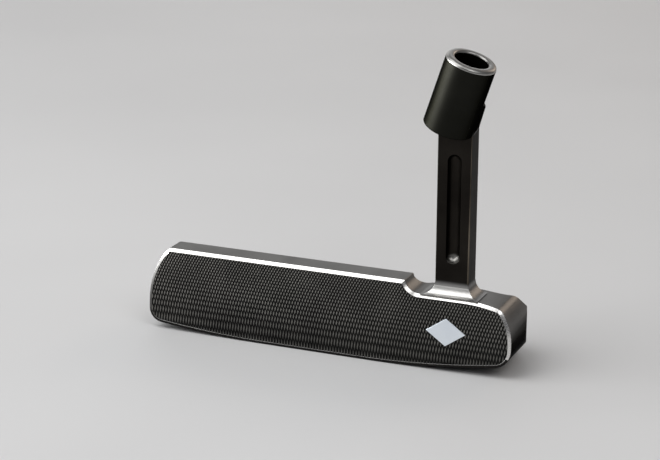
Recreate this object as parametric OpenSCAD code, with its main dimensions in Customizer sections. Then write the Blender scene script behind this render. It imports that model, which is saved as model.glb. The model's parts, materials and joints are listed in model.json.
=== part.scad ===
// Blade putter head, right-handed, with an offset flat-bar neck and a forward hosel sleeve.
// X runs from toe (-) to heel (+), the face looks towards -Y, +Z is up.
// The origin lies on the flat of the sole; the leading edge is at y = lead_y.

/* [Blade] */
// Half of the blade's length, toe to heel
half_length = 55.4; // [54:0.1:57]
// Height of the topline above the sole
top_z = 24.7; // [24.3:0.1:25]
// Height of the ledge that carries the neck
ledge_z = 21.35; // [21:0.05:21.5]
// Position of the leading edge, front to back
lead_y = -12; // [-12.5:0.1:-11.5]
// Loft of the face, degrees
loft = 3; // [2:0.5:4]
// Rear side of the upper blade wall
wall_back_y = -3.2; // [-3.6:0.1:-3]
// Rear side of the heel block under the neck
block_back_y = 0.3; // [0:0.1:0.6]
// Rear edge of the flange
flange_back_y = 14.2; // [13.6:0.1:14.2]

/* [Back cavity] */
// Height of the flange's upper side
flange_z = 6; // [5.6:0.1:6.4]
// Half width of the cavity at the flange
cavity_half = 22; // [20:0.5:23]
// Height of the heel and toe blocks where they meet the blade
bumper_z = 14.6; // [13:0.1:16]

/* [Face] */
// Width of the bright rim round the insert
rim_w = 0.9; // [0.8:0.05:1.1]
// Thickness of the milled face insert
insert_t = 2.7; // [2.4:0.1:3]
// Thickness of the damping pad behind it
pad_t = 0.7; // [0.5:0.1:0.8]

/* [Neck] */
// Width of the neck bar, toe to heel
neck_w = 9.7; // [9.2:0.1:10.2]
// Thickness of the neck bar, front to back
neck_t = 6.4; // [6:0.1:6.8]
// Toe side of the neck bar
neck_x0 = 32; // [31.8:0.1:32.1]
// Front side of the neck bar
neck_y0 = -8.2; // [-8.3:0.05:-8]
// Radius of the fillets at the sides of the foot
foot_side_r = 3.6; // [3:0.1:3.6]
// Radius of the fillet at the front of the foot
foot_front_r = 2.5; // [2:0.1:2.5]
// Width of the ball-end flute in the front of the bar
flute_w = 4; // [3:0.1:4.4]
// Lower end of the flute
flute_z0 = 30.5; // [29:0.5:34]
// Upper end of the flute
flute_z1 = 61.6; // [58:0.2:62]

/* [Hosel] */
// Outside diameter of the hosel sleeve
sleeve_d = 14; // [13.5:0.1:14.2]
// Length of the hosel sleeve
sleeve_l = 20.8; // [19:0.1:22]
// Diameter of the shaft bore
bore_d = 9.5; // [9.3:0.05:9.8]
// Depth of the shaft bore
bore_depth = 19; // [17:0.1:19.2]
// Lean of the shaft axis towards the heel, degrees
lie_lean = 19.24; // [18:0.1:20]
// Lean of the shaft axis towards the front, degrees
front_lean = 4; // [2:0.5:6]

/* [Weights] */
// Diameter of the two sole weights
weight_d = 11; // [10:0.1:11.5]
// Distance of each sole weight from the middle
weight_x = 44; // [43:0.1:45]

/* [Hidden] */
$fn = 64;

far = 80;            // longer than any part of the blade
eps = 0.01;

// Sole camber: flat in the middle, a long arc towards each end
flat_toe = -17;
flat_heel = 10;
sole_toe_r = 310;
sole_heel_r = 260;
// Corners of the blade outline
toe_low_r = 4.2;
toe_r = 24.3;
toe_c = [-half_length + toe_r, 8.5];
toe_top_r = 1.5;
heel_low_r = 5;
heel_r = 16;
heel_c = [half_length - heel_r, 10];
heel_top_r = 3;
crown_r = 40;
crown_x = 41;
notch_r = 4.4;
notch_c = [neck_x0 - foot_side_r - 0.3, ledge_z + notch_r];
arc_step = 4;        // degrees between points on the outline's small arcs

// Plan of the rear: straight sides, then a quarter round
rear_r = 13;
rear_round_y = 1.2;
block_turn_c = [45.5, 9.5];      // the block's rear side turns back round this point
sole_rear_y = 10;
sole_rear_rise = 0.8;

neck_x1 = neck_x0 + neck_w;
neck_mid = neck_x0 + neck_w / 2;
neck_y1 = neck_y0 + neck_t;
foot_top_z = ledge_z + foot_side_r;
bar_top_z = 69.6;
flute_x = neck_x0 + 5;

sleeve_base = [35.5, -10.16, 69.5];
collar_toe = -3.5;               // toe side, from the sleeve's axis
collar_z = [-6, 9];              // lower and upper end, along the sleeve's axis
collar_r = [8.2, 7.7];           // radius at those ends
collar_foot_z = 67.2;            // where the collar leaves the bar on the heel side
collar_swell = [2.7, 3.7];       // how far it then stands out, and over what height
mouth_c = 0.28;
edge_c = 0.45;

tenon = [7.2, 4.2, 12.8];        // width, thickness, depth below the ledge
tenon_y0 = -6.5;
bolt_d = 4;
bolt_y = tenon_y0 + tenon[1] / 2;
bolt_head_d = 7;
bolt_head_z = [2.2, 5.4];
bolt_tip_z = 16;

screw_x = [-18, -6, 6, 18];
screw_z = 13.5;
screw_d = 2.5;
screw_head_d = 4.5;
screw_head_t = 1.5;
screw_cover = 0.9;               // steel left between a screw hole and the face
screw_gap = 0.1;                 // free length at the end of a screw hole
screw_key_d = 2;
screw_key_depth = 0.9;

emblem = [11.6, 8];
emblem_pos = [36.5, 11.5];
emblem_t = 0.6;

weight_y = 4.4;
weight_z = [2.9, 6.1];           // outer and inner face of a weight's head
ring_t = 0.8;
stud_d = 5;
stud_l = 3.4;
key_d = 4;
key_depth = 1.8;

sight = [1.2, 12, 0.5];          // width, length and depth of the sight line
sight_y0 = 0.6;

sole_toe_c = [flat_toe, sole_toe_r];
sole_heel_c = [flat_heel, sole_heel_r];
crown_c = [crown_x, ledge_z - crown_r];

// Points on an arc about c, from angle a0 to a1
function arc(c, r, a0, a1, step = arc_step) =
    let (n = max(1, ceil(abs(a1 - a0) / step)))
    [for (i = [0:n]) c + r * [cos(a0 + (a1 - a0) * i / n), sin(a0 + (a1 - a0) * i / n)]];
// Angle of the direction from a to b
function heading(a, b) = atan2(b[1] - a[1], b[0] - a[0]);
// Centre of a circle that touches two larger circles from inside, on the side that s picks
function blend_centre(c1, r1, c2, r2, s) =
    let (v = c2 - c1, d = norm(v), a = (r1 * r1 - r2 * r2 + d * d) / (2 * d),
         h = sqrt(r1 * r1 - a * a))
    c1 + a * v / d + s * h * [-v[1], v[0]] / d;

toe_low_c = let (x = toe_low_r - half_length)
    [x, sole_toe_r - sqrt(pow(sole_toe_r - toe_low_r, 2) - pow(x - flat_toe, 2))];
heel_low_c = let (x = half_length - heel_low_r)
    [x, sole_heel_r - sqrt(pow(sole_heel_r - heel_low_r, 2) - pow(x - flat_heel, 2))];
toe_top_c = let (z = top_z - toe_top_r)
    [toe_c[0] - sqrt(pow(toe_r - toe_top_r, 2) - pow(z - toe_c[1], 2)), z];
heel_top_c = blend_centre(crown_c, crown_r - heel_top_r, heel_c, heel_r - heel_top_r, -1);

// Front end of a screw hole
screw_tip_y = lead_y + screw_z * tan(loft) + screw_cover;

// A closed outline without its repeated points
function once(v) = [for (i = [0:len(v) - 1]) if (norm(v[i] - v[(i + 1) % len(v)]) > eps) v[i]];

// Outline of the blade seen from the front, inset by d
function blade_outline(d = 0) =
    let (toe_low_a = heading(sole_toe_c, toe_low_c),
         toe_top_a = heading(toe_c, toe_top_c),
         heel_top_a = heading(heel_c, heel_top_c),
         heel_low_a = heading(sole_heel_c, heel_low_c),
         notch_dz = top_z - d - notch_c[1],
         notch_a = 180 - asin(notch_dz / (notch_r + d)))
    once(concat(
        arc(sole_toe_c, sole_toe_r - d, -90, toe_low_a, 0.8),
        arc(toe_low_c, toe_low_r - d, toe_low_a, -180, 10),
        arc(toe_c, toe_r - d, 180, toe_top_a),
        arc(toe_top_c, toe_top_r - d, toe_top_a, 90, 20),
        arc(notch_c, notch_r + d, notch_a, 270, 8),
        arc(crown_c, crown_r - d, 90, heading(crown_c, heel_top_c), 2),
        arc(heel_top_c, heel_top_r - d, heading(crown_c, heel_top_c), heel_top_a, 10),
        arc(heel_c, heel_r - d, heel_top_a, 0),
        arc(heel_low_c, heel_low_r - d, 0, heel_low_a, 10),
        arc(sole_heel_c, sole_heel_r - d, heel_low_a, -90, 0.8)));

// Shapes drawn in X and Z, pulled from y0 back to y1
module front_view(y0, y1) {
    translate([0, y1, 0]) rotate([90, 0, 0]) linear_extrude(y1 - y0) children();
}

// Shapes drawn in Y and Z, pulled from x0 to x1
module side_view(x0, x1) {
    translate([x0, 0, 0]) rotate([90, 0, 90]) linear_extrude(x1 - x0) children();
}

// Shapes drawn on the lofted face, from depth d0 to d1 behind it
module on_face(d0, d1) {
    translate([0, lead_y, 0]) rotate([-loft, 0, 0])
        translate([0, d1, 0]) rotate([90, 0, 0]) linear_extrude(d1 - d0) children();
}

// Frame of the hosel: its axis is +Z, its origin the centre of the sleeve's lower end
module on_hosel() {
    translate(sleeve_base) rotate([front_lean, 0, 0]) rotate([0, lie_lean, 0]) children();
}

module blade_wall() {
    intersection() {
        front_view(lead_y, wall_back_y) polygon(blade_outline());
        on_face(0, far) translate([-far, -far]) square(2 * far);
    }
}

// Everything behind the blade wall that lies inside the outline and the rounded plan
module rear_envelope() {
    corner = half_length - rear_r;
    intersection() {
        front_view(wall_back_y - 1, flange_back_y + 1) polygon(blade_outline());
        linear_extrude(far)
            polygon(concat([[-half_length, wall_back_y - 1], [half_length, wall_back_y - 1]],
                           arc([corner, rear_round_y], rear_r, 0, 90, 6),
                           arc([-corner, rear_round_y], rear_r, 90, 180, 6)));
    }
}

// Full-height block under the neck: slanted at the notch, turning back along the heel
module heel_block() {
    notch_end = 24.2;
    slant = 4.2;
    intersection() {
        rear_envelope();
        linear_extrude(far)
            polygon(concat([[notch_end, wall_back_y - 1], [notch_end, wall_back_y],
                            [notch_end + slant, block_back_y]],
                           arc(block_turn_c, block_turn_c[1] - block_back_y, -90, -10, 5),
                           [[far, block_turn_c[1]], [far, wall_back_y - 1]]));
    }
}

// Flange with a lower block at each end
module rear_mass() {
    intersection() {
        rear_envelope();
        side_view(-far, far)
            polygon([[wall_back_y - 1, 0], [sole_rear_y, 0], [flange_back_y, sole_rear_rise],
                     [flange_back_y, 10.6], [flange_back_y - 1.6, 12.2],
                     [wall_back_y, bumper_z], [wall_back_y - 1, bumper_z]]);
    }
}

// Space between the blocks: rounded at the flange, its sides open upwards
module cavity() {
    floor_r = 3;
    lean = 12;
    open_z = 40;
    half_top = cavity_half + (open_z - flange_z) * tan(lean);
    floor_c = [cavity_half - floor_r, flange_z + floor_r];
    front_view(wall_back_y, flange_back_y + 5) intersection() {
        polygon(concat([[half_top, open_z], [-half_top, open_z]],
                       arc([-floor_c[0], floor_c[1]], floor_r, 180 + lean, 270, 13),
                       arc(floor_c, floor_r, 270, 360 - lean, 13)));
        translate([-far, 0]) square([far + 24, far]);
    }
}

// A rod along each screw's axis, from y0 forward to y1
module at_screws(y0, y1, d, sides = $fn) {
    for (x = screw_x) translate([x, y0, screw_z]) rotate([90, 0, 0])
        cylinder(h = y0 - y1, d = d, $fn = sides);
}

module screw_holes() {
    at_screws(wall_back_y, screw_tip_y, screw_d);
    at_screws(wall_back_y + 1, wall_back_y - screw_head_t, screw_head_d);
}

module weight_pocket(x) {
    translate([x, weight_y, 0]) {
        translate([0, 0, -1]) cylinder(h = weight_z[1] + ring_t + 1, d = weight_d + 0.1);
        cylinder(h = weight_z[1] + ring_t + stud_l, d = stud_d);
    }
}

module bolt_hole() {
    translate([neck_mid, bolt_y, 0]) {
        cylinder(h = 12, d = bolt_d);
        translate([0, 0, -1]) cylinder(h = bolt_head_z[1] + 1, d = bolt_head_d);
    }
}

module tenon_block() {
    translate([neck_mid - tenon[0] / 2, tenon_y0, ledge_z - tenon[2]])
        cube([tenon[0], tenon[1], tenon[2] + 1]);
}

// The sight line's bar, or with more height the groove that it lies in
module sight_bar(more = 0) {
    translate([-sight[0] / 2, sight_y0, flange_z - sight[2]])
        cube([sight[0], sight[1], sight[2] + more]);
}

// Milled head: blade, heel block, flange and blocks, with the pockets for all that it holds
module head_body() {
    color([0.36, 0.35, 0.34]) difference() {
        union() {
            blade_wall();
            heel_block();
            difference() {
                rear_mass();
                cavity();
            }
        }
        on_face(-1, insert_t + pad_t) polygon(blade_outline(rim_w));
        screw_holes();
        weight_pocket(-weight_x);
        weight_pocket(weight_x);
        bolt_hole();
        tenon_block();
        sight_bar(1);
    }
}

// Face plate with a seat for the emblem and a thread for each screw
module face_insert() {
    color([0.2, 0.2, 0.2]) difference() {
        on_face(0, insert_t) polygon(blade_outline(rim_w));
        on_face(-1, emblem_t) emblem_shape();
        at_screws(wall_back_y, screw_tip_y, screw_d);
    }
}

module face_pad() {
    color([0.1, 0.1, 0.11]) difference() {
        on_face(insert_t, insert_t + pad_t) polygon(blade_outline(rim_w));
        at_screws(wall_back_y, screw_tip_y, screw_d);
    }
}

// Cap screws from the cavity into the insert, with hexagon sockets
module face_screws() {
    color([0.3, 0.3, 0.31]) difference() {
        union() {
            at_screws(wall_back_y, wall_back_y - screw_head_t, screw_head_d);
            at_screws(wall_back_y, screw_tip_y + screw_gap, screw_d);
        }
        at_screws(wall_back_y + 1, wall_back_y - screw_key_depth, screw_key_d, 6);
    }
}

module emblem_shape() {
    translate(emblem_pos)
        polygon([[-emblem[0] / 2, 0], [0, -emblem[1] / 2], [emblem[0] / 2, 0], [0, emblem[1] / 2]]);
}

// Plain diamond, flush with the face
module face_emblem() {
    color([0.8, 0.82, 0.84]) on_face(0, emblem_t) emblem_shape();
}

// Bar with concave fillets at its foot, seen from the front
module bar_front() {
    polygon(concat(
        arc([neck_x0 - foot_side_r, foot_top_z], foot_side_r, -90, 0),
        [[neck_x0, bar_top_z], [neck_x1, bar_top_z]],
        arc([neck_x1 + foot_side_r, foot_top_z], foot_side_r, 180, 270)));
}

// The same bar seen from the side; its rear is straight
module bar_side() {
    polygon(concat(
        [[neck_y1, ledge_z], [neck_y1, bar_top_z], [neck_y0, bar_top_z]],
        arc([neck_y0 - foot_front_r, ledge_z + foot_front_r], foot_front_r, 0, -90)));
}

// Tapered collar that grips the sleeve from behind; below the bar's top it has the bar's section
module collar() {
    h = collar_z[1] - collar_z[0];
    out_x = neck_x1 + collar_swell[0];
    out_z = collar_foot_z + collar_swell[1];
    intersection() {
        on_hosel() translate([collar_toe, -far / 2, collar_z[0]]) cube([far, far, h]);
        front_view(neck_y0, neck_y1)
            polygon([[neck_x0, bar_top_z - 4], [neck_x1, bar_top_z - 4], [neck_x1, collar_foot_z],
                     [out_x, out_z], [out_x + 3, out_z + far / 8], [neck_x0, out_z + far / 8]]);
        union() {
            on_hosel() translate([0, 0, collar_z[0]])
                cylinder(h = h, r1 = collar_r[0], r2 = collar_r[1]);
            translate([0, -far / 2, bar_top_z - far]) cube([neck_x1, far, far]);
        }
    }
}

module flute() {
    translate([flute_x, neck_y0, 0]) {
        translate([0, 0, flute_z0 + flute_w / 2])
            cylinder(h = flute_z1 - flute_z0 - flute_w, d = flute_w);
        for (z = [flute_z0 + flute_w / 2, flute_z1 - flute_w / 2])
            translate([0, 0, z]) sphere(d = flute_w);
    }
}

// Neck: filleted bar with a tenon into the head and a saddle for the sleeve
module neck() {
    color([0.2, 0.19, 0.18]) difference() {
        union() {
            intersection() {
                front_view(-far, far) bar_front();
                side_view(-far, far) bar_side();
            }
            collar();
            tenon_block();
        }
        on_hosel() cylinder(h = far, d = sleeve_d);
        flute();
        translate([neck_mid, bolt_y, 0]) cylinder(h = bolt_tip_z + 0.5, d = bolt_d);
    }
}

module neck_bolt() {
    color([0.3, 0.3, 0.31]) translate([neck_mid, bolt_y, 0]) difference() {
        union() {
            translate([0, 0, bolt_head_z[0]])
                cylinder(h = bolt_head_z[1] - bolt_head_z[0], d = bolt_head_d);
            translate([0, 0, bolt_head_z[0]])
                cylinder(h = bolt_tip_z - bolt_head_z[0], d = bolt_d);
        }
        translate([0, 0, bolt_head_z[0] - 1]) cylinder(h = 3, d = 3.4, $fn = 6);
    }
}

// Sleeve with a blind bore; its mouth and outer edges are chamfered
module hosel_tube() {
    r = sleeve_d / 2;
    bore_r = bore_d / 2;
    color([0.27, 0.26, 0.24]) on_hosel() rotate_extrude($fn = 96)
        polygon([[0, 0], [r - edge_c, 0], [r, edge_c], [r, sleeve_l - edge_c],
                 [r - edge_c, sleeve_l], [bore_r + mouth_c, sleeve_l],
                 [bore_r, sleeve_l - mouth_c], [bore_r, sleeve_l - bore_depth],
                 [0, sleeve_l - bore_depth]]);
}

// Round weight with a threaded stud and a hexagon key socket in its outer face
module sole_weight(x) {
    translate([x, weight_y, weight_z[0]]) difference() {
        union() {
            cylinder(h = weight_z[1] - weight_z[0], d = weight_d);
            cylinder(h = weight_z[1] - weight_z[0] + ring_t + stud_l - 0.4, d = stud_d);
        }
        translate([0, 0, -1]) cylinder(h = key_depth + 1, d = key_d, $fn = 6);
    }
}

module weight_ring(x) {
    translate([x, weight_y, weight_z[1]]) difference() {
        cylinder(h = ring_t, d = weight_d);
        translate([0, 0, -1]) cylinder(h = ring_t + 2, d = stud_d);
    }
}

module toe_weight() { color([0.55, 0.56, 0.57]) sole_weight(-weight_x); }
module heel_weight() { color([0.55, 0.56, 0.57]) sole_weight(weight_x); }
module toe_weight_ring() { color([0.06, 0.06, 0.06]) weight_ring(-weight_x); }
module heel_weight_ring() { color([0.06, 0.06, 0.06]) weight_ring(weight_x); }
module sight_line() { color([0.85, 0.86, 0.87]) sight_bar(); }

head_body();
face_insert();
face_pad();
face_screws();
face_emblem();
neck();
neck_bolt();
hosel_tube();
toe_weight();
heel_weight();
toe_weight_ring();
heel_weight_ring();
sight_line();
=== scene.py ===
import json
import math
from functools import partial

import bmesh
import bpy
from mathutils import Matrix, Vector


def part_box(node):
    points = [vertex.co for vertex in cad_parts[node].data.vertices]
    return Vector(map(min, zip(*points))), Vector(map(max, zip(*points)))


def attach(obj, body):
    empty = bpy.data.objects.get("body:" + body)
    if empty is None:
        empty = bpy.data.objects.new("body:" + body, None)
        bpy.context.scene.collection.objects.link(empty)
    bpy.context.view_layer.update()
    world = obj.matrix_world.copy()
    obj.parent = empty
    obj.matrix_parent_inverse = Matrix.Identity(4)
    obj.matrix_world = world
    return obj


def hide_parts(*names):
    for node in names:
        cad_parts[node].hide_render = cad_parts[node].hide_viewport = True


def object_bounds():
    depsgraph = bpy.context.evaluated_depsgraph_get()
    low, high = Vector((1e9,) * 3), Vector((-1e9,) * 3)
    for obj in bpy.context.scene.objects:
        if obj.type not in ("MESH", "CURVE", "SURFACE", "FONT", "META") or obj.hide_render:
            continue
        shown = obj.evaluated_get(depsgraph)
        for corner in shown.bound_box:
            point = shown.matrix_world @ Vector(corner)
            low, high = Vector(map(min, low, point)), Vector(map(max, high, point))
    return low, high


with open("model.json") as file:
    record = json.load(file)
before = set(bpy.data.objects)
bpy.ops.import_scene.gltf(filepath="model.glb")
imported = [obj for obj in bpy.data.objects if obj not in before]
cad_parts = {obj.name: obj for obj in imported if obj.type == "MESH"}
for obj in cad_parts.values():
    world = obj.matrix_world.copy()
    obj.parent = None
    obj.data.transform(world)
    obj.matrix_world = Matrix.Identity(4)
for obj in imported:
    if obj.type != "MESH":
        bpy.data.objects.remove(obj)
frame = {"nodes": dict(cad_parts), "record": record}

# Blade putter head. X runs from toe to heel, the face looks towards -Y, Z is up; all in metres.
cad_low, cad_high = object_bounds()
MM = 0.001
BODY = "root"
LOFT = math.radians(3)
LEAD_Y = -12 * MM                       # leading edge of the face
FACE_NORMAL = Vector((0, -math.cos(LOFT), math.sin(LOFT)))
FACE_UP = Vector((0, math.sin(LOFT), math.cos(LOFT)))
FACE_FOOT = Vector((0, LEAD_Y, 0))      # where the face plane meets the ground
LEDGE_Z = 21.35 * MM                    # ledge that carries the neck
FLUTE_END = Vector((37, -7.2, 31)) * MM # lower end of the flute in the neck
FLUTE_R = 2 * MM
FOOT_FRONT_R = 2.5 * MM                 # fillet at the front of the neck's foot

# Milled face: arcs of a fly cutter that moves one pitch along the blade each turn
MILL_PITCH = 0.883 * MM
MILL_RADIUS = 55.2 * MM
MILL_CENTRE_Z = -5.5 * MM
MILL_ROWS = 24
GROOVE_DEPTH = 0.16 * MM
LAND_TOP_R = 0.45                       # a land's corner radii, for grooves one unit apart
LAND_FOOT_R = 0.64
LAND_NARROW = 0.66                      # its width across one family of grooves, against the other
TOP_FACING = 0.95                       # cosine of the most that a land's top may turn from the face
EMBLEM_DEPTH = 0.55 * MM
EMBLEM_GAP = 0.12 * MM                  # plain margin that the milling leaves round the emblem

# Rounding of the edges
BEZEL = 0.8 * MM                        # depth of the chamfer round the face
LOWER_BEZEL = 0.25 * MM                 # the same along the toe and the leading edge
HIGHLIGHT_FROM = 1.3 * LOWER_BEZEL         # a chamfer deeper than this is bright: polish with a painted highlight
HEEL_SHARE = 0.6                        # how much facing the heel counts against facing up
HEAD_EDGE = 0.14 * MM
BAR_EDGE = 0.38 * MM
SMALL_EDGE = 0.08 * MM
LIP = 0.95 * MM                         # outer rounding of the sleeve's upper rim
MOUTH = 0.6 * MM                        # inner rounding of the same rim
SLEEVE_FOOT = 0.4 * MM
RIM_WALL = 3 * MM                       # stretch below the lip that has its own ring of faces
SLEEVE_SIDES = 128
LIP_STEPS = 6

# How close counts as the same place
NEAR = 0.01 * MM
LEVEL_GAP = 0.02 * MM
ON_PLANE_GAP = 0.002 * MM

# Sockets of the Mix node that carry colours
MIX_SHARE, MIX_FIRST, MIX_SECOND = 0, 6, 7
MIX_RESULT = 2


# ---------------------------------------------------------------- node helpers

def add(tree, kind, at=(0, 0), **settings):
    """A node with its settings; a setting named after an input socket sets that socket."""
    node = tree.nodes.new(kind)
    node.location = at
    for key, value in settings.items():
        if hasattr(node, key):
            setattr(node, key, value)
        else:
            node.inputs[key.replace("_", " ")].default_value = value
    return node


def math_node(tree, operation, a, b=None):
    """A Math node on sockets or numbers; returns its output socket."""
    node = tree.nodes.new("ShaderNodeMath")
    node.operation = operation
    for slot, value in zip(node.inputs, (a, b)):
        if isinstance(value, bpy.types.NodeSocket):
            tree.links.new(value, slot)
        elif value is not None:
            slot.default_value = value
    return node.outputs[0]


# ------------------------------------------------------------------- materials

CLOUD_SCALE = 90.0                      # cells per metre in the steels' colour
GRAIN_SCALE = 2200.0                    # and in their grain
GRAIN_DEPTH = 0.012 * MM
SATIN = (0.3, 0.42)                     # lowest and highest roughness
ALONG_BAR = (1, 1, 0.08)                # draws the grain out upwards
HEAD_TONES = (0.235, 0.232, 0.227), (0.3, 0.296, 0.29)


def new_material(name):
    material = bpy.data.materials.new(name)
    material.use_nodes = True
    tree = material.node_tree
    shader = tree.nodes["Principled BSDF"]
    return material, tree, shader


def coordinates(tree, scale=(1, 1, 1)):
    source = add(tree, "ShaderNodeTexCoord", (-1400, 0))
    mapping = add(tree, "ShaderNodeMapping", (-1200, 0))
    mapping.inputs["Scale"].default_value = scale
    tree.links.new(source.outputs["Object"], mapping.inputs["Vector"])
    return mapping.outputs["Vector"]


def noise(tree, vector, scale, detail=3.0, at=(-900, 0)):
    node = add(tree, "ShaderNodeTexNoise", at, Scale=scale, Detail=detail)
    tree.links.new(vector, node.inputs["Vector"])
    return node.outputs["Fac"]


def ramp(tree, value, low, high, start=0.3, end=0.7, at=(-500, 0)):
    """Colour or grey that follows value from low to high."""
    node = add(tree, "ShaderNodeValToRGB", at)
    stops = node.color_ramp.elements
    stops[0].position, stops[1].position = start, end
    for stop, colour in zip(stops, (low, high)):
        stop.color = (*colour, 1) if isinstance(colour, tuple) else (colour, colour, colour, 1)
    tree.links.new(value, node.inputs["Fac"])
    return node.outputs["Color"]


def bump(tree, shader, height, strength, distance):
    node = add(tree, "ShaderNodeBump", (-200, -400), Strength=strength, Distance=distance)
    tree.links.new(height, node.inputs["Height"])
    tree.links.new(node.outputs["Normal"], shader.inputs["Normal"])


def metal(name, dark, light, rough, grain=(1, 1, 1), strength=0.35, glance=1.0):
    """Satin steel: cloudy colour, roughness that varies and a fine grain drawn out by `grain`.

    A glance below 1 takes brightness from the reflection at a shallow angle.
    """
    material, tree, shader = new_material(name)
    shader.inputs["Metallic"].default_value = 1.0
    shader.inputs["Specular Tint"].default_value = (glance, glance, glance, 1)
    clouds = noise(tree, coordinates(tree), CLOUD_SCALE, 5.0, (-900, 300))
    tree.links.new(ramp(tree, clouds, dark, light, at=(-500, 300)), shader.inputs["Base Color"])
    fine = noise(tree, coordinates(tree, grain), GRAIN_SCALE, 4.0, (-900, -200))
    low, high = rough
    tree.links.new(ramp(tree, fine, low, high, 0.25, 0.75, (-500, -100)), shader.inputs["Roughness"])
    bump(tree, shader, fine, strength, GRAIN_DEPTH)
    return material


def own_colour(material):
    """A steel's node tree and the socket that its colour comes from so far."""
    tree = material.node_tree
    return tree, tree.nodes["Principled BSDF"].inputs["Base Color"].links[0].from_socket


def fade(tree, value, start, end):
    """Share that runs smoothly from 0 where the value is at start to 1 where it is at end."""
    span = add(tree, "ShaderNodeMapRange", (-500, 600), interpolation_type="SMOOTHSTEP",
               From_Min=start, From_Max=end)
    tree.links.new(value, span.inputs["Value"])
    return span.outputs["Result"]


def recolour(tree, share, first, second):
    """Sets the shader's colour to a mix, from first at share 0 to second at share 1."""
    mix = add(tree, "ShaderNodeMix", (-200, 500), data_type="RGBA")
    tree.links.new(share, mix.inputs[MIX_SHARE])
    for place_in_mix, colour in ((MIX_FIRST, first), (MIX_SECOND, second)):
        if isinstance(colour, tuple):
            mix.inputs[place_in_mix].default_value = (*colour, 1)
        else:
            tree.links.new(colour, mix.inputs[place_in_mix])
    tree.links.new(mix.outputs[MIX_RESULT], tree.nodes["Principled BSDF"].inputs["Base Color"])


def z_of(tree, vector):
    """The Z socket of a vector."""
    spot = add(tree, "ShaderNodeSeparateXYZ", (-700, 600))
    tree.links.new(vector, spot.inputs[0])
    return spot.outputs["Z"]


def paint_side_shade(material, dark, start=-0.05, end=0.35):
    """Paints shade into a steel's colour on its upright and downward sides; only what faces up keeps
    the plain tone.
    """
    tree, plain = own_colour(material)
    facing = add(tree, "ShaderNodeTexCoord", (-900, 600))
    share = fade(tree, z_of(tree, facing.outputs["Normal"]), start, end)
    recolour(tree, share, dark, plain)


def blend_below(material, height, depth, dark, light):
    """Turns a steel to other tones below a height; they are reached that depth further down."""
    tree, plain = own_colour(material)
    clouds = plain.node.inputs["Fac"].links[0].from_socket
    share = fade(tree, z_of(tree, coordinates(tree)), height, height - depth)
    recolour(tree, share, plain, ramp(tree, clouds, dark, light, at=(-500, 600)))


def paint_highlight_spot(material, middle, radius, dark, light):
    """Brightens a steel round one point: a painted highlight on the rounded end where a cutter ran out.
    """
    tree, plain = own_colour(material)
    away = add(tree, "ShaderNodeVectorMath", (-900, 900), operation="DISTANCE")
    away.inputs[1].default_value = middle
    tree.links.new(coordinates(tree), away.inputs[0])
    share = fade(tree, away.outputs["Value"], radius, radius * 0.35)
    clouds = noise(tree, coordinates(tree), 400.0, 4.0, (-900, 1100))
    recolour(tree, share, plain, ramp(tree, clouds, dark, light, at=(-500, 900)))


def rubber(name, colour):
    material, tree, shader = new_material(name)
    vector = coordinates(tree)
    speckle = noise(tree, vector, 1500.0, 4.0)
    darker = tuple(c * 0.6 for c in colour)
    tree.links.new(ramp(tree, speckle, darker, colour), shader.inputs["Base Color"])
    shader.inputs["Roughness"].default_value = 0.75
    bump(tree, shader, speckle, 0.4, 0.03 * MM)
    return material


def paint(name, colour):
    """Filled, slightly uneven matt paint."""
    material, tree, shader = new_material(name)
    vector = coordinates(tree)
    cloud = noise(tree, vector, 700.0, 4.0)
    worn = tuple(c * 0.8 for c in colour)
    tree.links.new(ramp(tree, cloud, worn, colour), shader.inputs["Base Color"])
    shader.inputs["Roughness"].default_value = 0.55
    bump(tree, shader, cloud, 0.3, 0.02 * MM)
    return material


def floor_material():
    material, tree, shader = new_material("pale_floor")
    vector = coordinates(tree)
    cloud = noise(tree, vector, 6.0, 2.0)
    tree.links.new(ramp(tree, cloud, 0.68, 0.72), shader.inputs["Base Color"])
    shader.inputs["Roughness"].default_value = 0.7
    return material


HEAD_STEEL = metal("gunmetal_steel", *HEAD_TONES, rough=(0.32, 0.42), glance=0.3)
# Painted shade: the head's upright and downward sides are darkened by the way they face.
paint_side_shade(HEAD_STEEL, (0.024, 0.023, 0.022))
# Bright bevel: partly polish, partly a painted highlight where the chamfer faces up and towards the
# heel.
BEVEL_POLISH_AND_HIGHLIGHT = metal("polished_bevel_with_highlight", (0.66, 0.65, 0.63), (0.82, 0.81, 0.79), rough=(0.22, 0.3),
                    strength=0.1)
WORN_EDGE = metal("worn_edge", (0.035, 0.03, 0.023), (0.22, 0.19, 0.15), rough=SATIN, glance=0.3)
NECK_STEEL = metal("blackened_neck", (0.0105, 0.0092, 0.008), (0.019, 0.0168, 0.0145), rough=SATIN,
                   grain=ALONG_BAR, glance=0.6)
blend_below(NECK_STEEL, LEDGE_Z + 4.2 * MM, 1.6 * MM, *HEAD_TONES)
# Painted highlight on the front fillet of the neck's foot.
FOOT_HIGHLIGHT_STEEL = metal("foot_painted_highlight", (0.55, 0.545, 0.53), (0.7, 0.69, 0.67), rough=(0.3, 0.4))
FLUTE_STEEL = metal("fluted_neck", (0.012, 0.0105, 0.009), (0.024, 0.021, 0.018), rough=SATIN,
                    grain=ALONG_BAR, glance=0.2)
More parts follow.
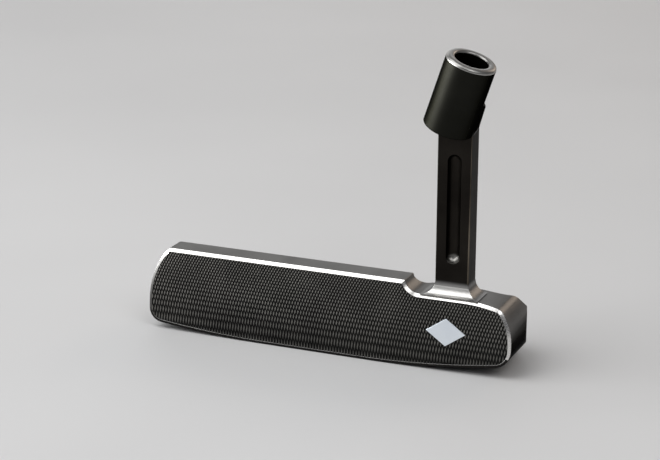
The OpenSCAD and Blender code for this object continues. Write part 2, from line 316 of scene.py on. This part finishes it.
# Painted highlight on the flute's lower rounded end.
paint_highlight_spot(FLUTE_STEEL, FLUTE_END, 2.4 * MM, (0.3, 0.295, 0.28), (0.5, 0.49, 0.46))
SLEEVE_STEEL = metal("blackened_sleeve", (0.0115, 0.0115, 0.0097), (0.017, 0.017, 0.0145),
                     rough=(0.38, 0.46), glance=0.15)
RIM_STEEL = metal("turned_rim", (0.3, 0.295, 0.285), (0.42, 0.415, 0.4), rough=(0.3, 0.4), strength=0.1)
LAND_STEEL = metal("milled_lands", (0.155, 0.152, 0.141), (0.225, 0.219, 0.203), rough=(0.35, 0.5))
blend_below(LAND_STEEL, 15 * MM, 12 * MM, (0.085, 0.083, 0.077), (0.12, 0.117, 0.108))
# Dark insert finish with painted shade in the grooves; only the lands' tops get the lighter steel.
GROOVE_DARK_AND_SHADE = metal("insert_dark_and_groove_shade", (0.012, 0.012, 0.012), (0.02, 0.02, 0.019), rough=(0.5, 0.65))
EMBLEM_STEEL = metal("emblem_silver", (0.8, 0.86, 0.93), (0.88, 0.93, 0.98), rough=(0.32, 0.42),
                     grain=(0.05, 1, 1))
SCREW_STEEL = metal("screw_black", (0.04, 0.04, 0.04), (0.07, 0.07, 0.07), rough=SATIN)
WEIGHT_STEEL = metal("turned_weight", (0.3, 0.3, 0.3), (0.42, 0.42, 0.42), rough=(0.25, 0.38))
PAD_RUBBER = rubber("pad_rubber", (0.03, 0.03, 0.032))
RING_RUBBER = rubber("ring_rubber", (0.015, 0.015, 0.015))
SIGHT_PAINT = paint("sight_white", (0.78, 0.79, 0.8))


# ---------------------------------------------------------------- mesh helpers

def new_piece(name, mesh, materials):
    piece = bpy.data.objects.new(name, mesh)
    bpy.context.scene.collection.objects.link(piece)
    for material in materials:
        mesh.materials.append(material)
    return piece


def cad_copy(node):
    """The CAD node's mesh as one merged shell with its flat faces rejoined."""
    bm = bmesh.new()
    bm.from_mesh(frame["nodes"][node].data)
    bmesh.ops.remove_doubles(bm, verts=bm.verts, dist=0.0005 * MM)
    bmesh.ops.dissolve_limit(bm, angle_limit=math.radians(0.5), verts=bm.verts, edges=bm.edges)
    for face in bm.faces:
        face.material_index = 0
    return bm


def to_mesh(bm, name):
    bmesh.ops.recalc_face_normals(bm, faces=bm.faces)
    mesh = bpy.data.meshes.new(name)
    bm.to_mesh(mesh)
    bm.free()
    return mesh


def settle(piece):
    """Applies a piece's modifiers, so that only a plain mesh is left."""
    graph = bpy.context.evaluated_depsgraph_get()
    evaluated = piece.evaluated_get(graph)
    mesh = bpy.data.meshes.new_from_object(evaluated, preserve_all_data_layers=True, depsgraph=graph)
    piece.modifiers.clear()
    piece.data = mesh


def soften(piece, width, segments=3, angle=28, crisp_level=None):
    """Rounds the edges sharper than angle, but for those at a crisp level, and evens the shading."""
    bm = bmesh.new()
    bm.from_mesh(piece.data)
    weight = bm.edges.layers.float.new("bevel_weight_edge")
    for edge in bm.edges:
        crisp = crisp_level is not None and all(
            abs(v.co.z - crisp_level) < LEVEL_GAP for v in edge.verts)
        if not crisp and edge.calc_face_angle(0.0) > math.radians(angle):
            edge[weight] = 1.0
    bm.to_mesh(piece.data)
    bm.free()
    bevel = piece.modifiers.new("edges", "BEVEL")
    bevel.width = width
    bevel.segments = segments
    bevel.limit_method = "WEIGHT"
    bevel.use_clamp_overlap = False
    bevel.miter_outer = "MITER_ARC"
    settle(piece)
    shade(piece)


def shade(piece, angle=32):
    piece.data.shade_smooth()
    piece.data.set_sharp_from_angle(angle=math.radians(angle))
    weighted = piece.modifiers.new("normals", "WEIGHTED_NORMAL")
    weighted.keep_sharp = True
    weighted.weight = 90
    settle(piece)


def place(piece, node):
    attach(piece, BODY)
    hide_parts(node)


def keep(node, material):
    """A CAD node that stays as it is and only gets its finish."""
    part = frame["nodes"][node]
    for slot in part.material_slots:
        slot.material = material


def face_depth(point):
    """How far a point lies behind the face plane."""
    return -(point - FACE_FOOT).dot(FACE_NORMAL)


def on_plane(point):
    return abs(face_depth(point)) < ON_PLANE_GAP


# ------------------------------------------------------------------------ head

def make_head():
    """Milled body with a bright chamfer round the face, partly polish and partly painted highlight, and
    lightly broken edges elsewhere.
    """
    bm = cad_copy("head_body")
    front = [f for f in bm.faces if all(on_plane(v.co) for v in f.verts)]
    outer, inner = [], []
    depth = {}
    for edge in {e for f in front for e in f.edges}:
        for side in edge.link_faces:
            if side in front:
                continue
            if lines_pocket(side, edge):
                inner.append(edge)
                continue
            outer.append(edge)
            for vert in edge.verts:
                depth[vert] = min(depth.get(vert, BEZEL), bezel_depth(side.normal))
    bmesh.ops.delete(bm, geom=front, context="FACES_ONLY")
    for vert, back in depth.items():
        vert.co.y += back
    chamfer = bmesh.ops.bridge_loops(bm, edges=outer + inner)["faces"]
    bmesh.ops.recalc_face_normals(bm, faces=bm.faces)
    # The deep chamfer along the top and the heel gets the bright bevel steel, a painted highlight on
    # polish.
    for face in chamfer:
        face.material_index = 1 if bezel_depth(face.normal) > HIGHLIGHT_FROM else 0
    head = new_piece("blade_head", to_mesh(bm, "blade_head"), [HEAD_STEEL, BEVEL_POLISH_AND_HIGHLIGHT])
    soften(head, HEAD_EDGE)
    place(head, "head_body")


def bezel_depth(normal):
    """Chamfer depth: full along the top and the heel, slight along the toe and the leading edge."""
    share = min(1.0, max(0.0, (normal.z + HEEL_SHARE * normal.x) / HEEL_SHARE))
    return LOWER_BEZEL + (BEZEL - LOWER_BEZEL) * share


def lines_pocket(side, edge):
    """True if the side wall at an edge faces into the insert's pocket, and not outwards."""
    mid = (edge.verts[0].co + edge.verts[1].co) / 2
    outline_normal = side.normal - side.normal.dot(FACE_NORMAL) * FACE_NORMAL
    step = 0.3 * MM
    return over_insert(mid + outline_normal.normalized() * step)


def over_insert(point):
    """True if a point, moved onto the face, lies over the insert."""
    in_front, reach = 5 * MM, 20 * MM
    start = point + FACE_NORMAL * in_front
    hit, _, _, _ = frame["nodes"]["face_insert"].ray_cast(start, -FACE_NORMAL, distance=reach)
    return hit


make_head()


# ------------------------------------------------------------------------ face

def outline_of_face():
    """Corners of the insert's outer edge on the face plane, in order."""
    bm = cad_copy("face_insert")
    flat = [f for f in bm.faces if all(on_plane(v.co) for v in f.verts)]
    edges = {}
    for face in flat:
        for edge in face.edges:
            edges[edge] = edges.get(edge, 0) + 1
    rim = [e for e, uses in edges.items() if uses == 1]
    loops = []
    while rim:
        edge = rim.pop()
        loop = [edge.verts[0], edge.verts[1]]
        while loop[-1] != loop[0]:
            edge = next(e for e in rim if loop[-1] in e.verts)
            rim.remove(edge)
            loop.append(edge.other_vert(loop[-1]))
        loops.append([v.co.copy() for v in loop[:-1]])
    bm.free()
    return max(loops, key=lambda loop: max(p.x for p in loop) - min(p.x for p in loop))


def prism(points, front, back):
    """Closed prism over an outline on the face, from front to back behind the face plane."""
    bm = bmesh.new()
    rings = [[bm.verts.new(p - FACE_NORMAL * depth) for p in points] for depth in (front, back)]
    bm.faces.new(rings[0])
    bm.faces.new(rings[1])
    for i in range(len(points)):
        j = (i + 1) % len(points)
        bm.faces.new((rings[0][i], rings[0][j], rings[1][j], rings[1][i]))
    return bm


def emblem_corners(grow=0.0):
    """Corners of the plain diamond on the face, grown by a margin."""
    low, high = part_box("face_emblem")
    middle = Vector(((low.x + high.x) / 2, 0, (low.z + high.z) / 2))
    half_w = (high.x - low.x) / 2
    half_h = (high.z - low.z) / 2
    slant = math.hypot(half_w, half_h)
    grow_w, grow_h = grow * slant / half_h, grow * slant / half_w
    ends = ((-half_w - grow_w, 0), (0, -half_h - grow_h), (half_w + grow_w, 0), (0, half_h + grow_h))
    height = middle.z / math.cos(LOFT)
    return [FACE_FOOT + Vector((middle.x + x, 0, 0)) + FACE_UP * (height + z) for x, z in ends]


LAND_SIZES = {"Pitch": MILL_PITCH, "Radius": MILL_RADIUS, "Centre Height": MILL_CENTRE_Z,
              "Land Height": GROOVE_DEPTH * 1.3, "Length": 110 * MM, "First Arc": 46 * MM,
              "Lead": LEAD_Y, "Loft": LOFT}


def combine(tree, x=None, y=None, z=None):
    """A vector from sockets; a part that isn't given is 0."""
    node = add(tree, "ShaderNodeCombineXYZ")
    for name, socket in zip("XYZ", (x, y, z)):
        if socket is not None:
            tree.links.new(socket, node.inputs[name])
    return node.outputs[0]


def places(tree):
    """The X, Y and Z sockets of each point's place."""
    spot = add(tree, "ShaderNodeSeparateXYZ")
    tree.links.new(add(tree, "GeometryNodeInputPosition").outputs[0], spot.inputs[0])
    return [spot.outputs[name] for name in "XYZ"]


def put(tree, geometry, new_places):
    """Geometry with each point set to its new place."""
    node = add(tree, "GeometryNodeSetPosition")
    tree.links.new(geometry, node.inputs["Geometry"])
    tree.links.new(new_places, node.inputs["Position"])
    return node.outputs[0]


def transformed(tree, geometry, change, value):
    """Geometry after one change of Translation, Rotation or Scale, by a vector or a socket."""
    node = add(tree, "GeometryNodeTransform")
    tree.links.new(geometry, node.inputs["Geometry"])
    if isinstance(value, bpy.types.NodeSocket):
        tree.links.new(value, node.inputs[change])
    else:
        node.inputs[change].default_value = value
    return node.outputs[0]


def land_points(tree, given):
    """A grid of points, one for each land: rows half a pitch apart, every other row shifted."""
    calc = partial(math_node, tree)
    pitch, rows = given["Pitch"], given["Rows"]
    half = calc("MULTIPLY", pitch, 0.5)
    columns = calc("ADD", calc("CEIL", calc("DIVIDE", given["Length"], pitch)), 1.0)
    width = calc("MULTIPLY", calc("SUBTRACT", columns, 1.0), pitch)
    depth = calc("MULTIPLY", calc("SUBTRACT", rows, 1.0), half)
    grid = add(tree, "GeometryNodeMeshGrid")
    for name, socket in (("Vertices X", columns), ("Vertices Y", rows), ("Size X", width),
                         ("Size Y", depth)):
        tree.links.new(socket, grid.inputs[name])
    x, y, _ = places(tree)
    from_first = calc("ADD", y, calc("MULTIPLY", depth, 0.5))
    odd = calc("FLOORED_MODULO", calc("ROUND", calc("DIVIDE", from_first, half)), 2.0)
    shifted = combine(tree, calc("ADD", x, calc("MULTIPLY", odd, half)),
                      calc("ADD", from_first, given["First Arc"]))
    return put(tree, grid.outputs["Mesh"], shifted)


def one_land(tree, given):
    """A four-sided frustum, narrower across one family of grooves than the other."""
    eighth_turn = (0, 0, math.pi / 4)
    land = add(tree, "GeometryNodeMeshCone", fill_type="NGON", Vertices=4, Radius_Top=LAND_TOP_R,
               Radius_Bottom=LAND_FOOT_R, Depth=1.0).outputs["Mesh"]
    land = transformed(tree, land, "Rotation", eighth_turn)
    land = transformed(tree, land, "Scale", (LAND_NARROW, 1.0, 1.0))
    land = transformed(tree, land, "Rotation", eighth_turn)
    across = math_node(tree, "DIVIDE", given["Pitch"], math.sqrt(2))
    height = given["Land Height"]
    land = transformed(tree, land, "Scale", combine(tree, across, across, height))
    sink = combine(tree, z=math_node(tree, "MULTIPLY", height, -1.0))
    return transformed(tree, land, "Translation", sink)


def bent_to_arcs(tree, given, geometry):
    """Rows become arcs: the distance along Y is the half chord of the cutter's circle.

    The bend mirrors the lands, so their faces are flipped back.
    """
    calc = partial(math_node, tree)
    x, y, out = places(tree)
    radius = given["Radius"]
    squares = calc("SUBTRACT", calc("MULTIPLY", radius, radius), calc("MULTIPLY", y, y))
    rise = calc("SQRT", calc("MAXIMUM", squares, 0.0))
    up = calc("ADD", rise, given["Centre Height"])
    sine = calc("SINE", given["Loft"])
    cosine = calc("COSINE", given["Loft"])
    back = calc("SUBTRACT", calc("MULTIPLY", up, sine), calc("MULTIPLY", out, cosine))
    lift = calc("ADD", calc("MULTIPLY", up, cosine), calc("MULTIPLY", out, sine))
    arcs = put(tree, geometry, combine(tree, x, calc("ADD", back, given["Lead"]), lift))
    flipped = add(tree, "GeometryNodeFlipFaces")
    tree.links.new(arcs, flipped.inputs[0])
    return flipped.outputs[0]


def trimmed(tree, given, geometry):
    """Lands kept inside the insert's outline and cleared round the emblem."""
    for name, operation, socket in (("Outline", "INTERSECT", "Mesh 2"),
                                    ("Emblem", "DIFFERENCE", "Mesh 1")):
        info = add(tree, "GeometryNodeObjectInfo", transform_space="RELATIVE")
        tree.links.new(given[name], info.inputs["Object"])
        cut = add(tree, "GeometryNodeMeshBoolean", operation=operation, solver="MANIFOLD")
        tree.links.new(geometry, cut.inputs[socket])
        tree.links.new(info.outputs["Geometry"], cut.inputs["Mesh 2"])
        geometry = cut.outputs["Mesh"]
    return geometry


def lands_tree():
    """Geometry nodes that lay out the lands between two crossing families of milled arcs."""
    tree = bpy.data.node_groups.new("milled_face", "GeometryNodeTree")
    inputs = [(name, "Float") for name in LAND_SIZES]
    inputs += [("Rows", "Int"), ("Outline", "Object"), ("Emblem", "Object"), ("Finish", "Material")]
    for name, kind in inputs:
        tree.interface.new_socket(name, in_out="INPUT", socket_type="NodeSocket" + kind)
    tree.interface.new_socket("Geometry", in_out="OUTPUT", socket_type="NodeSocketGeometry")
    given = tree.nodes.new("NodeGroupInput").outputs
    spread = add(tree, "GeometryNodeInstanceOnPoints")
    tree.links.new(land_points(tree, given), spread.inputs["Points"])
    tree.links.new(one_land(tree, given), spread.inputs["Instance"])
    real = add(tree, "GeometryNodeRealizeInstances")
    tree.links.new(spread.outputs[0], real.inputs[0])
    lands = trimmed(tree, given, bent_to_arcs(tree, given, real.outputs[0]))
    finish = add(tree, "GeometryNodeSetMaterial")
    tree.links.new(lands, finish.inputs["Geometry"])
    tree.links.new(given["Finish"], finish.inputs["Material"])
    result = add(tree, "NodeGroupOutput")
    tree.links.new(finish.outputs[0], result.inputs["Geometry"])
    return tree


def make_lands(outline):
    """The lands of the milled face as one plain mesh."""
    cutters = {}
    for name, points in (("Outline", outline), ("Emblem", emblem_corners(EMBLEM_GAP))):
        mesh = to_mesh(prism(points, front=-1 * MM, back=1 * MM), name)
        cutters[name] = new_piece(name, mesh, [])
    tree = lands_tree()
    lands = new_piece("lands", bpy.data.meshes.new("lands"), [LAND_STEEL])
    nodes = lands.modifiers.new("milling", "NODES")
    nodes.node_group = tree
    values = dict(LAND_SIZES, Rows=MILL_ROWS, Finish=LAND_STEEL, **cutters)
    for item in tree.interface.items_tree:
        if item.in_out == "INPUT":
            nodes[item.identifier] = values[item.name]
    settle(lands)
    for cutter in cutters.values():
        bpy.data.objects.remove(cutter)
    return lands


def make_face():
    """The insert with its face sunk to the floor of the grooves, and the lands standing on it."""
    lands = make_lands(outline_of_face())
    bm = cad_copy("face_insert")
    for vert in bm.verts:
        if on_plane(vert.co):
            vert.co -= FACE_NORMAL * GROOVE_DEPTH
    bmesh.ops.recalc_face_normals(bm, faces=bm.faces)
    plate = set(bm.faces)
    bm.from_mesh(lands.data)
    # Slot 0 is the dark insert with painted shade in the grooves, slot 1 the lands' tops.
    for face in bm.faces:
        top = face not in plate and face.normal.dot(FACE_NORMAL) > TOP_FACING
        face.material_index = 1 if top else 0
    bpy.data.objects.remove(lands)
    mesh = bpy.data.meshes.new("milled_face")
    bm.to_mesh(mesh)
    bm.free()
    face = new_piece("milled_face", mesh, [GROOVE_DARK_AND_SHADE, LAND_STEEL])
    face.data.shade_flat()
    place(face, "face_insert")


make_face()


def make_emblem():
    """Plain diamond, set flush in the face."""
    bm = prism(emblem_corners(), 0.0, EMBLEM_DEPTH)
    emblem = new_piece("diamond_emblem", to_mesh(bm, "diamond_emblem"), [EMBLEM_STEEL])
    soften(emblem, SMALL_EDGE)
    place(emblem, "face_emblem")


make_emblem()


# ------------------------------------------------------------------------ neck

def upright_corners(bm):
    """The four long upright edges at the corners of the bar; those of the flute are left out."""
    upright = [e for e in bm.edges if (e.verts[0].co - e.verts[1].co).to_2d().length < NEAR
               and e.calc_length() > 20 * MM]
    sides = [e.verts[0].co.x for e in upright]
    return [e for e, x in zip(upright, sides) if min(x - min(sides), max(sides) - x) < NEAR]


def neck_finish(face, front):
    """Slot of a face: 2 in the flute, 3 on the front fillet of the foot (painted highlight), or the one
    it has.
    """
    middle = face.calc_center_median()
    sunk = middle.y - front
    along_flute = abs(middle.x - FLUTE_END.x) < FLUTE_R and middle.z > FLUTE_END.z - FLUTE_R
    if NEAR < sunk < FLUTE_R and along_flute:
        return 2
    if sunk < 0 and face.normal.y < -0.3 and middle.z < LEDGE_Z + FOOT_FRONT_R:
        return 3
    return face.material_index


def make_neck():
    """Flat bar with rounded corners, one of them worn, and lightly broken edges elsewhere."""
    bm = cad_copy("neck")
    corners = upright_corners(bm)
    front = min(e.verts[0].co.y for e in corners)
    worn = max(corners, key=lambda e: e.verts[0].co.x - e.verts[0].co.y)
    corners.remove(worn)
    for edges, slot in (([worn], 1), (corners, 0)):
        bmesh.ops.bevel(bm, geom=edges, offset=BAR_EDGE, segments=3, profile=0.5, affect="EDGES",
                        material=slot, clamp_overlap=False, offset_type="OFFSET")
    for face in bm.faces:
        face.material_index = neck_finish(face, front)
    neck = new_piece("flat_neck", to_mesh(bm, "flat_neck"),
                     [NECK_STEEL, WORN_EDGE, FLUTE_STEEL, FOOT_HIGHLIGHT_STEEL])
    soften(neck, SMALL_EDGE, crisp_level=LEDGE_Z)
    place(neck, "neck")


make_neck()


# ---------------------------------------------------------------------- sleeve

def shaft_bore():
    """The record's mount for the shaft."""
    return next(m for m in frame["record"]["mounts"] if m["name"] == "shaft_bore")


def hosel_frame():
    """Matrix of the hosel: its Z runs up the shaft axis from the sleeve's lower end."""
    mount = shaft_bore()
    axis = Vector(mount["axis"]).normalized()
    point = Vector(mount["pos_m"])
    lowest = min((v.co - point).dot(axis) for v in frame["nodes"]["hosel_tube"].data.vertices)
    side = Vector((0, 1, 0)).cross(axis).normalized()
    turn = Matrix((side, axis.cross(side), axis)).transposed().to_4x4()
    return Matrix.Translation(point + axis * lowest) @ turn


def sleeve_sizes():
    """Outer radius and length of the sleeve, and radius and depth of its bore."""
    inward = hosel_frame().inverted()
    points = [inward @ v.co for v in frame["nodes"]["hosel_tube"].data.vertices]
    radius = max(p.to_2d().length for p in points)
    length = max(p.z for p in points)
    floor = min(p.z for p in points if p.to_2d().length > SMALL_EDGE and p.z > length / 20)
    return radius, length, shaft_bore()["dims"]["r_mm"] * MM, length - floor


def quarter(r, z, size, start):
    """Points of a quarter circle about (r, z), from a start angle in degrees."""
    angles = [math.radians(start + 90 * i / LIP_STEPS) for i in range(LIP_STEPS + 1)]
    return [(r + size * math.cos(a), z + size * math.sin(a)) for a in angles]


def make_sleeve():
    """Turned sleeve: blind bore and a lip rounded on both sides."""
    radius, length, bore, depth = sleeve_sizes()
    profile = quarter(radius - SLEEVE_FOOT, SLEEVE_FOOT, SLEEVE_FOOT, -90)
    profile += [(radius, length - RIM_WALL)]
    rim_from = len(profile)
    profile += quarter(radius - LIP, length - LIP, LIP, 0)
    profile += quarter(bore + MOUTH, length - MOUTH, MOUTH, 90)
    rim_to = len(profile) - 1
    profile += [(bore, length - depth + SLEEVE_FOOT), (bore - SLEEVE_FOOT, length - depth)]
    bm = bmesh.new()
    turns = [2 * math.pi * i / SLEEVE_SIDES for i in range(SLEEVE_SIDES)]
    rings = [[bm.verts.new((r * math.cos(a), r * math.sin(a), z)) for a in turns] for r, z in profile]
    for k in range(len(profile) - 1):
        for i in range(SLEEVE_SIDES):
            j = (i + 1) % SLEEVE_SIDES
            face = bm.faces.new((rings[k][i], rings[k][j], rings[k + 1][j], rings[k + 1][i]))
            face.material_index = 1 if rim_from <= k < rim_to else 0
    bm.faces.new(rings[-1])
    bm.faces.new(rings[0])
    bm.transform(hosel_frame())
    sleeve = new_piece("hosel_sleeve", to_mesh(bm, "hosel_sleeve"), [SLEEVE_STEEL, RIM_STEEL])
    shade(sleeve, 40)
    place(sleeve, "hosel_tube")


make_sleeve()


# ------------------------------------------------------- weights, screws, rest

def make_hardware():
    """Weights, bolt and screws: the turned shapes with broken edges."""
    for node, name, finish, slot in (
            ("toe_weight", "toe_sole_weight", WEIGHT_STEEL, "weight_steel"),
            ("heel_weight", "heel_sole_weight", WEIGHT_STEEL, "weight_steel"),
            ("neck_bolt", "neck_fixing_bolt", SCREW_STEEL, "screw_steel"),
            ("face_screws", "insert_screws", SCREW_STEEL, "screw_steel")):
        piece = new_piece(name, to_mesh(cad_copy(node), name), [finish])
        soften(piece, SMALL_EDGE)
        place(piece, node)


make_hardware()
keep("face_pad", PAD_RUBBER)
keep("toe_weight_ring", RING_RUBBER)
keep("heel_weight_ring", RING_RUBBER)
keep("sight_line", SIGHT_PAINT)


# ----------------------------------------------------------------------- stage

def make_floor():
    """Plain pale floor, level with the lowest point of the sole."""
    bm = bmesh.new()
    bmesh.ops.create_grid(bm, x_segments=1, y_segments=1, size=6.0)
    floor = new_piece("floor", to_mesh(bm, "floor"), [floor_material()])
    floor.location.z = cad_low.z
    return floor


def softbox(name, towards, distance, size, power, colour=(1, 1, 1), target=Vector((0, 0, 0.03))):
    """Area light that shines on the target from an azimuth and elevation in degrees."""
    azimuth, elevation = map(math.radians, towards)
    way = Vector((math.sin(azimuth) * math.cos(elevation), -math.cos(azimuth) * math.cos(elevation),
                  math.sin(elevation)))
    lamp = bpy.data.lights.new(name, "AREA")
    lamp.shape = "RECTANGLE"
    lamp.size, lamp.size_y = size
    lamp.energy = power
    lamp.color = colour
    holder = bpy.data.objects.new(name, lamp)
    holder.location = target + way * distance
    holder.rotation_mode = "QUATERNION"
    holder.rotation_quaternion = way.to_track_quat("Z", "Y")
    bpy.context.scene.collection.objects.link(holder)
    return holder


def make_lights(floor):
    """Large softboxes; the low one at the left is kept off the floor, so that the floor stays even."""
    softbox("overhead", (-30, 84), 1.3, (1.3, 1.3), 1.6)
    softbox("key", (-51, 47), 0.9, (0.8, 1.25), 7.4)
    softbox("right_front", (51, 45), 0.9, (0.5, 0.5), 1.6)
    softbox("behind", (208, 22), 1.2, (1.0, 0.8), 2.5)
    softbox("warm_side", (158, 22), 1.2, (0.6, 0.6), 1.6, (1.0, 0.84, 0.7))
    left = softbox("left_side", (-72, 7), 0.8, (0.6, 0.17), 9.5)
    shaded = bpy.data.collections.new("shaded_from_left")
    shaded.objects.link(floor)
    shaded.collection_objects[0].light_linking.link_state = "EXCLUDE"
    left.light_linking.receiver_collection = shaded
    world = bpy.data.worlds.new("studio")
    world.use_nodes = True
    sky = world.node_tree.nodes["Background"]
    sky.inputs["Color"].default_value = (0.5, 0.5, 0.52, 1)
    sky.inputs["Strength"].default_value = 0.25
    bpy.context.scene.world = world
    bpy.context.scene.view_settings.view_transform = "Standard"


def make_camera():
    """Long lens in front of the blade and towards its heel, looking down on it a little."""
    azimuth, elevation, roll = (math.radians(a) for a in (22.65, 17.46, 0.227))
    distance = 568.8 * MM
    target = Vector((2.24, -12.31, 37.16)) * MM
    back = Vector((math.sin(azimuth) * math.cos(elevation),
                   -math.cos(azimuth) * math.cos(elevation), math.sin(elevation)))
    right = Vector((math.cos(azimuth), math.sin(azimuth), 0))
    up = back.cross(right)
    across = right * math.cos(roll) + up * math.sin(roll)
    upright = up * math.cos(roll) - right * math.sin(roll)
    lens = bpy.data.cameras.new("camera")
    lens.sensor_width = 36
    lens.lens = 111.52
    camera = bpy.data.objects.new("camera", lens)
    camera.matrix_world = Matrix.Translation(target + back * distance) @ Matrix(
        (across, upright, back)).transposed().to_4x4()
    bpy.context.scene.collection.objects.link(camera)
    bpy.context.scene.camera = camera


make_lights(make_floor())
make_camera()
